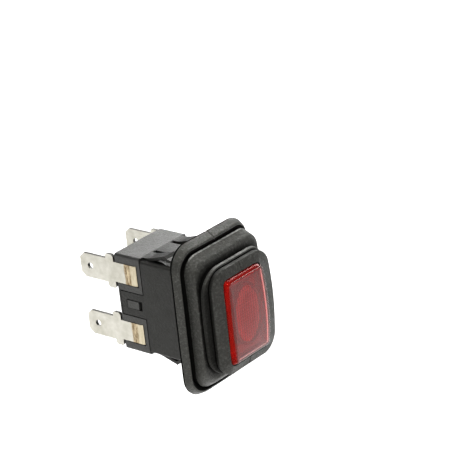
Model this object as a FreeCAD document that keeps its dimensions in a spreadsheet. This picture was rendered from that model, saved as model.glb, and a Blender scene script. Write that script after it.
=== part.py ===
import FreeCAD, Part
import math
import os
import Sketcher

# Splash-proof illuminated push-button switch for a panel cut-out.
# Frame: origin at the centre of the panel seat (rear rim of the boot flange),
# -Y towards the button, +Y towards the push-on tabs, +Z up along the tall side.
# Millimetres.

doc = FreeCAD.newDocument("panel_switch")
sheet = doc.addObject("Spreadsheet::Sheet", "Sizes")

SIZES = [
    # boot rings: half width, half height, corner radius, and where they lie
    ("rim_hx", 13.8), ("rim_hz", 19.4), ("rim_rad", 5.5), ("flange_hx", 12.8), ("flange_hz", 18.1),
    ("flange_rad", 5.0), ("flange_y", -2.55), ("step_hx", 11.6), ("step_hz", 16.6), ("step_rad", 4.5),
    ("slope_hx", 11.3), ("slope_hz", 15.1), ("slope_rad", 4.6), ("slope_y", -4.64),
    ("fold_hx", 10.7), ("fold_hz", 13.6), ("fold_rad", 5.0), ("fold_y", -5.7),
    ("ring_hx", 10.9), ("ring_hz", 13.5), ("ring_rad", 5.2), ("ring_y", -6.6),
    ("cap_hx", 10.5), ("cap_hz", 13.3), ("cap_rad", 4.9), ("cap_y", -9.0),
    ("cap_face_hx", 9.2), ("cap_face_hz", 12.2), ("cap_face_rad", 4.0), ("cap_face_y", -9.65),
    ("rubber", 0.9), ("lip_hx", 9.3), ("lip_hz", 14.9), ("channel_in_hx", 11.1), ("channel_in_hz", 16.6),
    ("channel_out_hx", 12.3), ("channel_out_hz", 18.0), ("channel_deep", 1.9),
    # lens and its light insert
    ("lens_hx", 6.6), ("lens_hz", 11.1), ("lens_rad", 1.0), ("lens_base_y", -9.7),
    ("face_hx", 6.2), ("face_hz", 10.1), ("face_rad", 0.5), ("face_y", -11.1), ("crown", 0.7),
    ("lens_rim_hx", 8.0), ("lens_rim_hz", 11.8), ("lens_rim_y", -8.45), ("lens_in_hx", 5.3),
    ("lens_in_hz", 9.8), ("lens_roof_y", -10.4),
    ("oval_ax", 4.94), ("oval_az", 7.7), ("oval_in_ax", 3.85), ("oval_in_az", 6.95), ("oval_y", -10.3),
    ("oval_wall", 0.6),
    # plunger
    ("head_hx", 9.2), ("head_hz", 12.1), ("head_rad", 3.6), ("head_front_y", -7.9), ("head_rear_y", -6.7),
    ("slider_hx", 7.2), ("slider_hz", 9.9), ("slider_rear_y", 7.4), ("light_hx", 4.6), ("light_hz", 7.4),
    ("light_y", -0.6), ("bore_rad", 2.3), ("spring_bore_rad", 2.95), ("spring_seat_y", 6.0),
    ("recess_y", 3.0), ("cam_hx", 2.9), ("cam_top", 8.6), ("cam_rear_y", 9.6), ("track_deep", 1.0),
    ("cage_in_x", 3.0), ("cage_out_x", 6.7), ("cage_hz", 2.6), ("cage_rear_y", 12.8), ("cage_win_in", 3.45),
    ("cage_win_out", 6.15), ("cage_win_y", 12.0), ("lug_hx", 2.0), ("lug_z", 10.8), ("lug_y", 3.0),
    ("lug_len", 1.5),
    # housing
    ("body_hx", 8.65), ("body_hz", 12.65), ("house_hz", 12.0), ("strip_hx", 2.6), ("body_rad", 0.6), ("plate_hx", 10.55), ("plate_hz", 15.95),
    ("plate_rad", 3.2), ("plate_front_y", -1.95), ("plate_rear_y", -0.95), ("split_y", 14.1),
    ("cavity_hx", 7.45), ("cavity_hz", 10.2), ("pocket_floor", 11.2), ("pocket_in_x", 2.6),
    ("pocket_out_x", 7.5), ("pocket_front_y", 1.7), ("pocket_rear_y", 12.4), ("arm_in_x", 3.8),
    ("arm_out_x", 7.3), ("arm_tip_y", 2.3), ("arm_tip_z", 12.95), ("knee_y", 7.1), ("knee_z", 14.2),
    ("arm_root_y", 13.8), ("arm_bend_y", 12.6), ("arm_thick", 0.75), ("tongue_hz", 3.05), ("tongue_in_x", 7.85),
    ("tongue_y", 21.6), ("window_hz", 1.2), ("window_front_y", 15.05), ("window_rear_y", 19.9),
    # base
    ("base_rear_y", 22.2), ("base_in_hx", 6.95), ("base_in_hz", 10.6), ("floor_y", 16.4),
    ("spigot_y", 13.0), ("spigot_hx", 7.4), ("spigot_hz", 10.15), ("spigot_in_hz", 9.6),
    ("seam", 0.26), ("rear_face_y", 20.7), ("post_rad", 1.9), ("post_bore", 1.35), ("post_y", 1.2),
    ("pivot_y", 15.5), ("pivot_boss_hx", 1.2),
    # terminals
    ("row_z", 7.69), ("tab_out_x", 8.66), ("tab_thick", 0.8), ("tab_hz", 3.15), ("tab_tip_y", 33.95),
    ("tab_hole_y", 30.75), ("tab_hole_rad", 0.85), ("tab_cut_y", 1.3), ("tab_cut_z", 1.15),
    ("neck_hz", 2.6), ("ear_front_y", 22.8), ("ear_rear_y", 25.3), ("ear_hz", 4.4), ("shelf_y", 15.6),
    ("shelf_in_x", 3.2), ("slot_gap", 0.08),
    # contacts
    ("contact_x", 4.8), ("contact_rad", 1.1), ("fixed_y", 14.6), ("shank_rad", 0.6), ("bridge_y", 11.1),
    ("bridge_thick", 0.8), ("bridge_hx", 1.2), ("bridge_hz", 9.1), ("moving_y", 12.8),
    ("contact_spring_rad", 1.15), ("contact_spring_bore", 0.75),
    # return spring, latch and lamp
    ("spring_rad", 2.7), ("spring_in_rad", 2.1), ("wire_rad", 0.35), ("wire_z", 9.3), ("pin_y", 7.5),
    ("pin_rad", 0.3), ("leaf_z", 9.72), ("leaf_thick", 0.2), ("leaf_hx", 0.9), ("leaf_front_y", 8.2),
    ("leaf_rear_y", 17.2), ("lamp_rad", 2.0), ("lamp_tip_y", -6.8), ("lead_rad", 0.2), ("lead_x", 0.75),
    ("resistor_x", 0.55), ("resistor_rad", 0.6), ("lead_y", 16.62), ("lead_z", 6.0),
]


class Dim:
    """A number that also knows its spreadsheet expression."""

    def __init__(self, value, text):
        self.v = float(value)
        self.e = text

    def __add__(self, other):
        other = dim(other)
        return Dim(self.v + other.v, "(%s + %s)" % (self.e, other.e))

    __radd__ = __add__

    def __sub__(self, other):
        other = dim(other)
        return Dim(self.v - other.v, "(%s - %s)" % (self.e, other.e))

    def __rsub__(self, other):
        return dim(other) - self

    def __mul__(self, other):
        other = dim(other)
        return Dim(self.v * other.v, "(%s * %s)" % (self.e, other.e))

    __rmul__ = __mul__

    def __truediv__(self, other):
        other = dim(other)
        return Dim(self.v / other.v, "(%s / %s)" % (self.e, other.e))

    def __neg__(self):
        return Dim(-self.v, "(-1 * %s)" % self.e)


def dim(value):
    if isinstance(value, Dim):
        return value
    return Dim(value, "(%.6f)" % value)


class Sizes:
    pass


d = Sizes()
for row, (alias, value) in enumerate(SIZES, start=1):
    sheet.set("A%d" % row, alias)
    sheet.set("B%d" % row, "%g" % value)
    sheet.setAlias("B%d" % row, alias)
    setattr(d, alias, Dim(value, "Sizes.%s" % alias))
doc.recompute()

V = FreeCAD.Vector
ROT = {
    "X": FreeCAD.Rotation(V(0, 1, 0), 90),
    "Y": FreeCAD.Rotation(V(1, 0, 0), -90),
    "Z": FreeCAD.Rotation(),
}
PLANE = {
    "XY": FreeCAD.Rotation(),
    "XZ": FreeCAD.Rotation(V(1, 0, 0), 90),
    "YZ": FreeCAD.Rotation(V(1, 1, 1), 120),
}
NORMAL = {"XY": V(0, 0, 1), "XZ": V(0, 1, 0), "YZ": V(1, 0, 0)}
AXIS_OF = {"XY": "z", "XZ": "y", "YZ": "x"}


def bind(obj, prop, value):
    obj.setExpression(prop, dim(value).e)


def place(obj, x, y, z, rotation=None):
    if rotation is not None:
        obj.Placement = FreeCAD.Placement(V(dim(x).v, dim(y).v, dim(z).v), rotation)
    bind(obj, "Placement.Base.x", x)
    bind(obj, "Placement.Base.y", y)
    bind(obj, "Placement.Base.z", z)
    return obj


def box(name, x0, x1, y0, y1, z0, z1):
    b = doc.addObject("Part::Box", name)
    bind(b, "Length", dim(x1) - dim(x0))
    bind(b, "Width", dim(y1) - dim(y0))
    bind(b, "Height", dim(z1) - dim(z0))
    return place(b, x0, y0, z0)


def cyl(name, axis, x, y, z, radius, length):
    c = doc.addObject("Part::Cylinder", name)
    bind(c, "Radius", radius)
    bind(c, "Height", length)
    return place(c, x, y, z, ROT[axis])


def ball(name, x, y, z, radius):
    s = doc.addObject("Part::Sphere", name)
    bind(s, "Radius", radius)
    return place(s, x, y, z)


def fuse(name, *shapes):
    f = doc.addObject("Part::MultiFuse", name)
    f.Shapes = list(shapes)
    f.Refine = True
    return f


def cut(name, base, *tools):
    tool = tools[0] if len(tools) == 1 else fuse(name + "_tools", *tools)
    c = doc.addObject("Part::Cut", name)
    c.Base = base
    c.Tool = tool
    c.Refine = True
    return c


def locate(sketch, plane, offset):
    off = dim(offset)
    base = {"x": V(off.v, 0, 0), "y": V(0, off.v, 0), "z": V(0, 0, off.v)}[AXIS_OF[plane]]
    sketch.Placement = FreeCAD.Placement(base, PLANE[plane])
    bind(sketch, "Placement.Base." + AXIS_OF[plane], off)


def pin_point(sketch, geo, pos, px, py):
    for kind, value in (("DistanceX", dim(px)), ("DistanceY", dim(py))):
        k = sketch.addConstraint(Sketcher.Constraint(kind, -1, 1, geo, pos, value.v))
        sketch.setExpression("Constraints[%d]" % k, value.e)


def polygon(sketch, points):
    pts = [(dim(a), dim(b)) for a, b in points]
    n = len(pts)
    for i in range(n):
        a, b = pts[i], pts[(i + 1) % n]
        sketch.addGeometry(Part.LineSegment(V(a[0].v, a[1].v, 0), V(b[0].v, b[1].v, 0)), False)
    for i in range(n):
        sketch.addConstraint(Sketcher.Constraint("Coincident", i, 2, (i + 1) % n, 1))
        pin_point(sketch, i, 1, pts[i][0], pts[i][1])
    return sketch


def rounded(sketch, hx, hz, rad):
    hx, hz, rad = dim(hx), dim(hz), dim(rad)
    ix, iz = hx - rad, hz - rad
    ends = [
        ((-ix, -hz), (ix, -hz)), ((hx, -iz), (hx, iz)),
        ((ix, hz), (-ix, hz)), ((-hx, iz), (-hx, -iz)),
    ]
    centres = [(ix, -iz, -90, 0), (ix, iz, 0, 90), (-ix, iz, 90, 180), (-ix, -iz, 180, 270)]
    for a, b in ends:
        sketch.addGeometry(Part.LineSegment(V(a[0].v, a[1].v, 0), V(b[0].v, b[1].v, 0)), False)
    for cx, cz, a0, a1 in centres:
        circle = Part.Circle(V(cx.v, cz.v, 0), V(0, 0, 1), rad.v)
        sketch.addGeometry(Part.ArcOfCircle(circle, math.radians(a0), math.radians(a1)), False)
    for i, (a, b) in enumerate(ends):
        pin_point(sketch, i, 1, a[0], a[1])
        pin_point(sketch, i, 2, b[0], b[1])
    for i in range(4):
        sketch.addConstraint(Sketcher.Constraint("Coincident", i, 2, 4 + i, 1))
        sketch.addConstraint(Sketcher.Constraint("Coincident", 4 + i, 2, (i + 1) % 4, 1))
        k = sketch.addConstraint(Sketcher.Constraint("Radius", 4 + i, rad.v))
        sketch.setExpression("Constraints[%d]" % k, rad.e)
    return sketch


def extrude(name, sketch, plane, length):
    x = doc.addObject("Part::Extrusion", name)
    x.Base = sketch
    x.DirMode = "Custom"
    x.Dir = NORMAL[plane]
    x.Solid = True
    bind(x, "LengthFwd", length)
    return x


def slab(name, hx, hz, rad, y0, y1):
    """Rounded rectangular block, square to Y, from y0 to y1."""
    s = doc.addObject("Sketcher::SketchObject", name + "_outline")
    locate(s, "XZ", y0)
    rounded(s, hx, hz, rad)
    return extrude(name, s, "XZ", dim(y1) - dim(y0))


def prism(name, plane, points, start, length):
    s = doc.addObject("Sketcher::SketchObject", name + "_outline")
    locate(s, plane, start)
    polygon(s, points)
    return extrude(name, s, plane, length)


def loft(name, rings):
    sections = []
    for i, (hx, hz, rad, y) in enumerate(rings):
        s = doc.addObject("Sketcher::SketchObject", "%s_ring%d" % (name, i))
        locate(s, "XZ", y)
        rounded(s, hx, hz, rad)
        sections.append(s)
    f = doc.addObject("Part::Loft", name)
    f.Sections = sections
    f.Solid = True
    f.Ruled = True
    return f


def oval(name, ax, az, y0, y1):
    e = doc.addObject("Part::Ellipse", name + "_outline")
    bind(e, "MajorRadius", az)
    bind(e, "MinorRadius", ax)
    e.Placement = FreeCAD.Placement(V(0, dim(y0).v, 0), FreeCAD.Rotation(V(0, 0, 1), V(-1, 0, 0), V(0, -1, 0), "ZXY"))
    bind(e, "Placement.Base.y", y0)
    return extrude(name, e, "XZ", dim(y1) - dim(y0))


pieces = []


def piece(obj, label):
    obj.Label = label
    pieces.append(obj)
    return obj


SIDES = (("left", -1), ("right", 1))


def span(sign, a, b):
    """Order a pair of distances from the centre for the given side."""
    a, b = dim(a), dim(b)
    return (a, b) if sign > 0 else (-b, -a)


# ---------------------------------------------------------------- rubber boot
w = d.rubber
outer = loft("boot_outside", [
    (d.rim_hx, d.rim_hz, d.rim_rad, 0.0),
    (d.flange_hx, d.flange_hz, d.flange_rad, d.flange_y),
    (d.step_hx, d.step_hz, d.step_rad, d.flange_y - 0.05),
    (d.slope_hx, d.slope_hz, d.slope_rad, d.slope_y),
    (d.fold_hx, d.fold_hz, d.fold_rad, d.fold_y),
    (d.ring_hx, d.ring_hz, d.ring_rad, d.ring_y),
    (d.cap_hx, d.cap_hz, d.cap_rad, d.cap_y),
    (d.cap_face_hx, d.cap_face_hz, d.cap_face_rad, d.cap_face_y),
])
inner = loft("boot_inside", [
    (d.step_hx - w - 0.3, d.step_hz - w - 0.3, d.step_rad - w, d.plate_front_y - 0.05),
    (d.slope_hx - w, d.slope_hz - w, d.slope_rad - w, d.slope_y + 0.1),
    (d.fold_hx - w, d.fold_hz - w, d.fold_rad - w, d.fold_y),
    (d.cap_hx - w, d.cap_hz - w, d.cap_rad - w, d.lens_rim_y - 0.05),
])
boot_tools = [
    inner,
    slab("boot_lens_hole", d.lens_hx + 0.1, d.lens_hz + 0.1, d.lens_rad + 0.1, d.cap_face_y - 0.4, d.lens_rim_y + 0.1),
    slab("boot_plate_slot", d.plate_hx + 0.05, d.plate_hz + 0.05, d.plate_rad + 0.05, d.plate_front_y - 0.06, d.plate_rear_y + 0.05),
    slab("boot_lip_hole", d.lip_hx, d.lip_hz, 2.2, d.plate_rear_y, 0.5),
    cut("boot_channel",
        slab("boot_channel_out", d.channel_out_hx, d.channel_out_hz, d.rim_rad - 1.1, -d.channel_deep, 0.5),
        slab("boot_channel_in", d.channel_in_hx, d.channel_in_hz, d.rim_rad - 2.2, -d.channel_deep - 0.2, 0.7)),
]
boot = piece(cut("rubber_boot", outer, *boot_tools), "rubber_boot")

# ----------------------------------------------------------------------- lens
lens_skin = loft("lens_outside", [
    (d.lens_hx, d.lens_hz, d.lens_rad, d.head_front_y),
    (d.lens_hx, d.lens_hz, d.lens_rad, d.lens_base_y),
    (d.face_hx, d.face_hz, d.face_rad, d.face_y),
])
lens_rim = slab("lens_rim", d.lens_rim_hx, d.lens_rim_hz, 1.6, d.lens_rim_y, d.head_front_y)
crown_rad = (d.face_hz * d.face_hz + d.crown * d.crown) / (2 * d.crown)
crown_slab = slab("crown_slab", d.face_hx, d.face_hz, d.face_rad, d.face_y - d.crown - 0.5, d.face_y)
crown_drum = cyl("crown_drum", "X", -10.0, d.face_y - d.crown + crown_rad, 0.0, crown_rad, 20.0)
lens_crown = doc.addObject("Part::Common", "lens_crown")
lens_crown.Base = crown_slab
lens_crown.Tool = crown_drum
lens = piece(cut(
    "button_lens",
    fuse("lens_block", lens_skin, lens_rim, lens_crown),
    slab("lens_hollow", d.lens_in_hx, d.lens_in_hz, 0.6, d.lens_roof_y, d.head_front_y + 0.5),
), "button_lens")

diffuser = piece(cut(
    "lens_diffuser",
    oval("oval_block", d.oval_ax, d.oval_az, d.oval_y, d.head_front_y),
    oval("oval_hollow", d.oval_in_ax, d.oval_in_az, d.oval_y + d.oval_wall, d.head_front_y + 0.5),
), "lens_diffuser")

# -------------------------------------------------------------------- plunger
head = slab("plunger_head", d.head_hx, d.head_hz, d.head_rad, d.head_front_y, d.head_rear_y)
slider = slab("plunger_slider", d.slider_hx, d.slider_hz, 0.8, d.head_rear_y - 0.1, d.slider_rear_y)
cam = box("plunger_cam", -d.cam_hx, d.cam_hx, d.slider_rear_y - 0.3, d.cam_rear_y, 4.0, d.cam_top)
lug = box("plunger_lug", -d.lug_hx, d.lug_hx, d.lug_y, d.lug_y + d.lug_len, -d.lug_z, -d.slider_hz + 0.4)
cages = []
windows = []
for side, sign in SIDES:
    x0, x1 = span(sign, d.cage_in_x, d.cage_out_x)
    cages.append(box("cage_" + side, x0, x1, d.slider_rear_y - 0.2, d.cage_rear_y, -d.cage_hz, d.cage_hz))
    x0, x1 = span(sign, d.cage_win_in, d.cage_win_out)
    windows.append(box("cage_window_" + side, x0, x1, d.slider_rear_y, d.cage_win_y, -d.cage_hz - 1.0, d.cage_hz + 1.0))
track = prism("track_pocket", "XY", [
    (-0.5, d.pin_y + 0.5), (0.4, d.pin_y + 0.5), (0.45, d.pin_y + 0.22), (1.95, d.pin_y - 2.24),
    (2.15, d.pin_y - 2.6), (2.15, d.pin_y - 3.1), (-1.3, d.pin_y - 3.1), (-1.2, d.pin_y - 1.0), (-0.5, d.pin_y),
], d.cam_top - d.track_deep, d.track_deep + 0.2)
island = prism("track_island", "XY", [
    (-0.5, d.pin_y - 0.75), (-0.09, d.pin_y - 0.75), (0.6, d.pin_y - 1.95), (0.05, d.pin_y - 1.55),
    (-0.55, d.pin_y - 1.95), (-0.6, d.pin_y - 0.9),
], d.cam_top - d.track_deep - 0.1, d.track_deep + 0.4)
plunger = piece(cut(
    "plunger",
    fuse("plunger_block", head, slider, cam, lug, *cages),
    slab("plunger_light", d.light_hx, d.light_hz, 1.0, d.head_front_y - 0.2, d.light_y),
    cyl("plunger_bore", "Y", 0.0, d.light_y - 0.2, 0.0, d.bore_rad, 12.0),
    cyl("plunger_spring_bore", "Y", 0.0, d.spring_seat_y, 0.0, d.spring_bore_rad, 8.0),
    box("plunger_recess", -3.0, 3.0, d.recess_y, d.cam_rear_y + 1.0, d.cam_top, d.slider_hz + 0.5),
    cut("heart_track", track, island),
    *windows
), "plunger")

# -------------------------------------------------------------------- housing
body = slab("housing_body", d.body_hx, d.house_hz, d.body_rad, d.plate_front_y, d.split_y)
plate = slab("housing_plate", d.plate_hx, d.plate_hz, d.plate_rad, d.plate_front_y, d.plate_rear_y)
strips = []
pockets = []
slits = []
arms = []
for tag, up in (("top", 1), ("bottom", -1)):
    z0, z1 = span(up, d.house_hz - 1.0, d.body_hz)
    strips.append(box("strip_" + tag, -d.strip_hx, d.strip_hx, d.plate_front_y, d.split_y, z0, z1))
    z0, z1 = span(up, d.pocket_floor, d.house_hz + 1.0)
    pockets.append(box("front_ledge_" + tag, -d.pocket_out_x, d.pocket_out_x, d.plate_rear_y, d.pocket_front_y, z0, z1))
    for side, sign in SIDES:
        x0, x1 = span(sign, d.pocket_in_x, d.pocket_out_x)
        pockets.append(box("arm_pocket_%s_%s" % (tag, side), x0, x1, d.pocket_front_y - 0.5, d.pocket_rear_y, z0, z1))
        x0, x1 = span(sign, d.pocket_in_x, d.arm_in_x)
        slits.append(box("arm_slit_%s_%s" % (tag, side), x0, x1, d.pocket_rear_y - 0.2, d.split_y + 0.5, z0, z1))
        x0, x1 = span(sign, d.arm_in_x, d.arm_out_x)
        outline = [
            (d.split_y, d.body_hz - 0.03), (d.arm_bend_y, d.body_hz), (d.arm_bend_y - 1.25, d.body_hz + 0.27),
            (d.knee_y, d.knee_z), (d.knee_y - 0.7, d.knee_z - 0.6), (d.arm_tip_y, d.arm_tip_z),
            (d.arm_tip_y, d.arm_tip_z - d.arm_thick), (d.knee_y - 0.6, d.knee_z - 0.6 - d.arm_thick),
            (d.knee_y + 0.2, d.knee_z - d.arm_thick - 0.15), (d.arm_bend_y - 1.25, d.body_hz - 0.5),
            (d.pocket_rear_y, d.body_hz - 0.8), (d.pocket_rear_y - 0.2, d.pocket_floor - 0.1),
            (d.split_y, d.pocket_floor - 0.1),
        ]
        arms.append(prism("arm_%s_%s" % (tag, side), "YZ", [(a, dim(b) * up) for a, b in outline], x0, x1 - x0))
tongues = []
tongue_windows = []
for side, sign in SIDES:
    x0, x1 = span(sign, d.tongue_in_x, d.body_hx)
    tongues.append(box("tongue_" + side, x0, x1, d.split_y - 0.6, d.tongue_y, -d.tongue_hz, d.tongue_hz))
    x0, x1 = span(sign, d.tongue_in_x - 1.0, d.body_hx + 1.0)
    tongue_windows.append(box("tongue_window_" + side, x0, x1, d.window_front_y, d.window_rear_y, -d.window_hz, d.window_hz))
housing_shell = cut("housing_shell", fuse("housing_block", body, plate, *strips), *(pockets + slits))
housing = piece(cut(
    "front_housing",
    fuse("housing_whole", housing_shell, *(arms + tongues)),
    slab("housing_cavity", d.cavity_hx, d.cavity_hz, 0.9, d.plate_front_y - 0.5, d.split_y + 0.02),
    box("lug_groove", -d.lug_hx - 0.3, d.lug_hx + 0.3, d.lug_y - 0.1, d.split_y + 0.5, -d.lug_z - 0.3, -d.cavity_hz + 0.3),
    *tongue_windows
), "front_housing")

# ----------------------------------------------------------------------- base
front_y = d.split_y + d.seam
block = slab("base_block", d.body_hx + 0.01, d.body_hz, d.body_rad, front_y, d.base_rear_y)
spigot = slab("base_spigot", d.spigot_hx, d.spigot_hz, 0.85, d.spigot_y, front_y + 0.2)
base_tools = [
    slab("base_cavity", d.base_in_hx, d.base_in_hz, 0.6, front_y + 0.05, d.floor_y),
    slab("spigot_hole", d.base_in_hx, d.spigot_in_hz, 0.6, d.spigot_y - 0.2, front_y + 0.3),
    box("leaf_notch", -1.3, 1.3, d.spigot_y - 0.2, front_y + 0.1, 9.5, 10.8),
    box("leaf_slot", -d.leaf_hx - 0.05, d.leaf_hx + 0.05, d.floor_y - 0.2, d.leaf_rear_y + 0.05, d.leaf_z - 0.05, d.leaf_z + d.leaf_thick + 0.05),
    slab("base_rear", d.tab_out_x - d.tab_thick - 0.55, 11.4, 0.8, d.rear_face_y, d.base_rear_y + 0.5),
]
for side, sign in SIDES:
    x0, x1 = span(sign, d.tab_out_x - d.tab_thick - d.slot_gap, d.body_hx + 1.0)
    r0, r1 = span(sign, d.base_in_hx - 0.1, d.body_hx + 1.0)
    for tag, up in (("upper", 1), ("lower", -1)):
        z0, z1 = span(up, d.row_z - d.neck_hz - d.slot_gap - 0.12, d.row_z + d.neck_hz + d.slot_gap + 0.12)
        base_tools.append(box("neck_slot_%s_%s" % (tag, side), x0, x1, d.shelf_y - 0.3, d.base_rear_y + 0.5, z0, z1))
        z0, z1 = span(up, d.row_z - d.neck_hz - d.slot_gap, d.row_z + d.neck_hz + d.slot_gap)
        base_tools.append(box("shelf_slot_%s_%s" % (tag, side), r0, r1, d.shelf_y - d.slot_gap, d.floor_y + 0.05, z0, z1))
        p0, p1 = span(sign, 4.4, 6.9)
        q0, q1 = span(up, 5.4, 10.1)
        base_tools.append(box("rear_pocket_%s_%s" % (tag, side), p0, p1, 18.2, d.rear_face_y + 0.2, q0, q1))
    t0, t1 = span(sign, d.tongue_in_x - 0.1, d.body_hx + 1.0)
    base_tools.append(box("tongue_slot_" + side, t0, t1, front_y - 0.2, d.tongue_y + 0.2, -d.tongue_hz - 0.24, d.tongue_hz + 0.24))
    t0, t1 = span(sign, d.tongue_in_x - 0.7, d.tongue_in_x)
    base_tools.append(box("hook_relief_" + side, t0, t1, d.window_front_y, 15.95, -d.window_hz, d.window_hz))
    l0, l1 = span(sign, d.lead_x - 0.3, d.lead_x + 0.3) if sign < 0 else span(sign, d.resistor_x - 0.3, d.resistor_x + 0.3)
    base_tools.append(box("lead_groove_%s" % side, l0, l1, d.floor_y - 0.2, d.lead_y + 0.35, -0.3, d.lead_z + 0.3))
    m0, m1 = span(sign, d.resistor_x - 0.3, 4.0)
    base_tools.append(box("lead_branch_%s" % side, m0, m1, d.floor_y - 0.2, d.lead_y + 0.35, d.lead_z - 0.3, d.lead_z + 0.3))
base_tools.append(box("rear_pocket_mid", -3.4, 3.4, 18.2, d.rear_face_y + 0.2, -3.2, 1.6))
base_shell = cut("base_shell", fuse("base_whole", block, spigot), *base_tools)
extras = []
for tag, up in (("top", 1), ("bottom", -1)):
    z0, z1 = span(up, d.base_in_hz + 0.1, d.body_hz - 0.06)
    extras.append(box("split_lip_" + tag, -d.body_hx + 0.55, d.body_hx - 0.55, d.split_y + 0.05, front_y + 0.1, z0, z1))
for side, sign in SIDES:
    toe = d.tongue_in_x - 0.2
    heel = d.body_hx - 0.05
    outline = [
        (toe * sign, 16.0), ((d.tongue_in_x - 0.05) * sign, 16.0), (heel * sign, 16.15), (heel * sign, 19.85), (toe * sign, 19.85),
    ]
    extras.append(prism("snap_hook_" + side, "XY", outline, -d.window_hz + 0.04, d.window_hz * 2 - 0.34))
    x0, x1 = span(sign, 0.9, 1.5)
    extras.append(box("rear_rib_" + side, x0, x1, d.rear_face_y - 0.2, d.base_rear_y - 0.3, 2.6, 10.6))
extras.append(cyl("lamp_post", "Y", 0.0, d.post_y, 0.0, d.post_rad, d.floor_y - d.post_y))
extras.append(box("pivot_boss", -d.pivot_boss_hx, d.pivot_boss_hx, d.pivot_y - 1.2, d.floor_y + 0.2, 6.4, 8.75))
extras.append(prism("rear_gusset", "YZ", [
    (d.rear_face_y - 0.2, -5.0), (d.base_rear_y - 0.4, -9.8), (d.rear_face_y - 0.2, -9.8),
], -0.45, 0.9))
base = piece(cut(
    "rear_base",
    fuse("base_solid", base_shell, *extras),
    cyl("post_hole", "Y", 0.0, d.post_y - 0.5, 0.0, d.post_bore, d.lead_y + 0.35 - d.post_y + 0.5),
    cyl("pivot_hole", "Z", 0.0, d.pivot_y, 6.9, d.wire_rad + 0.05, 2.5),
), "rear_base")

# ------------------------------------------------------------------ terminals
def plane_of(b, role):
    for feature in b.Origin.OriginFeatures:
        if feature.Role == role:
            return feature
    raise RuntimeError("no origin plane " + role)


def body_sketch(b, name, role, offset_value=0.0):
    s = b.newObject("Sketcher::SketchObject", name)
    s.AttachmentSupport = [(plane_of(b, role), "")]
    s.MapMode = "FlatFace"
    if not isinstance(offset_value, float) or offset_value != 0.0:
        bind(s, "AttachmentOffset.Base.z", offset_value)
    return s


def terminal(label, sign, up):
    b = doc.addObject("PartDesign::Body", "body_" + label)
    b.Placement = FreeCAD.Placement(V(0, 0, d.row_z.v * up), FreeCAD.Rotation())
    bind(b, "Placement.Base.z", d.row_z * up)
    xo = d.tab_out_x
    xi = d.tab_out_x - d.tab_thick
    strip = body_sketch(b, label + "_strip", "XY_Plane")
    polygon(strip, [(x * sign, y) for x, y in [
        (d.shelf_in_x, d.shelf_y), (xo - 0.7, d.shelf_y), (xo - 0.2, d.shelf_y + 0.2), (xo, d.shelf_y + 0.7),
        (xo, d.ear_front_y + 0.2), (xi, d.ear_front_y + 0.2), (xi, d.shelf_y + d.tab_thick), (d.shelf_in_x, d.shelf_y + d.tab_thick),
    ]])
    pad = b.newObject("PartDesign::Pad", label + "_neck")
    pad.Profile = strip
    pad.SideType = "Symmetric"
    bind(pad, "Length", d.neck_hz * 2)
    doc.recompute()
    # blade: local sketch x is +Y, sketch y is +Z on the YZ plane
    blade = body_sketch(b, label + "_outline", "YZ_Plane", xi if sign > 0 else -xo)
    hz, ez, cz, cy = d.tab_hz, d.ear_hz, d.tab_cut_z, d.tab_cut_y
    polygon(blade, [
        (d.ear_front_y, -ez + 0.5), (d.ear_front_y + 0.5, -ez), (d.ear_rear_y - 0.4, -ez), (d.ear_rear_y, -ez + 0.4),
        (d.ear_rear_y, -hz), (d.tab_tip_y - cy, -hz), (d.tab_tip_y, -hz + cz), (d.tab_tip_y, hz - cz),
        (d.tab_tip_y - cy, hz), (d.ear_rear_y, hz), (d.ear_rear_y, ez - 0.4), (d.ear_rear_y - 0.4, ez),
        (d.ear_front_y + 0.5, ez), (d.ear_front_y, ez - 0.5),
    ])
    tab = b.newObject("PartDesign::Pad", label + "_blade")
    tab.Profile = blade
    bind(tab, "Length", d.tab_thick)
    doc.recompute()
    volume = b.Shape.Volume
    hole = body_sketch(b, label + "_holes", "YZ_Plane", (xo + 1.0) if sign > 0 else (-xi + 1.0))
    hole.addGeometry(Part.Circle(V(d.tab_hole_y.v, 0, 0), V(0, 0, 1), d.tab_hole_rad.v), False)
    pin_point(hole, 0, 3, d.tab_hole_y, 0.0)
    k = hole.addConstraint(Sketcher.Constraint("Radius", 0, d.tab_hole_rad.v))
    hole.setExpression("Constraints[%d]" % k, d.tab_hole_rad.e)
    pocket = b.newObject("PartDesign::Pocket", label + "_detent")
    pocket.Profile = hole
    bind(pocket, "Length", d.tab_thick + 2.5)
    doc.recompute()
    if not b.Shape.Volume < volume - 0.5:
        raise RuntimeError("detent hole misses the blade of " + label)
    volume = b.Shape.Volume
    rivet = body_sketch(b, label + "_rivet_hole", "XZ_Plane", -d.shelf_y + 1.0)
    rivet.addGeometry(Part.Circle(V(d.contact_x.v * sign, 0, 0), V(0, 0, 1), d.shank_rad.v + 0.02), False)
    pin_point(rivet, 0, 3, d.contact_x * sign, 0.0)
    k = rivet.addConstraint(Sketcher.Constraint("Radius", 0, d.shank_rad.v + 0.02))
    rivet.setExpression("Constraints[%d]" % k, (d.shank_rad + 0.02).e)
    drill = b.newObject("PartDesign::Pocket", label + "_drill")
    drill.Profile = rivet
    drill.SideType = "Symmetric"
    bind(drill, "Length", 6.0)
    doc.recompute()
    if not b.Shape.Volume < volume - 0.5:
        raise RuntimeError("rivet hole misses the shelf of " + label)
    b.Tip = drill
    doc.recompute()
    return piece(b, label)


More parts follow.
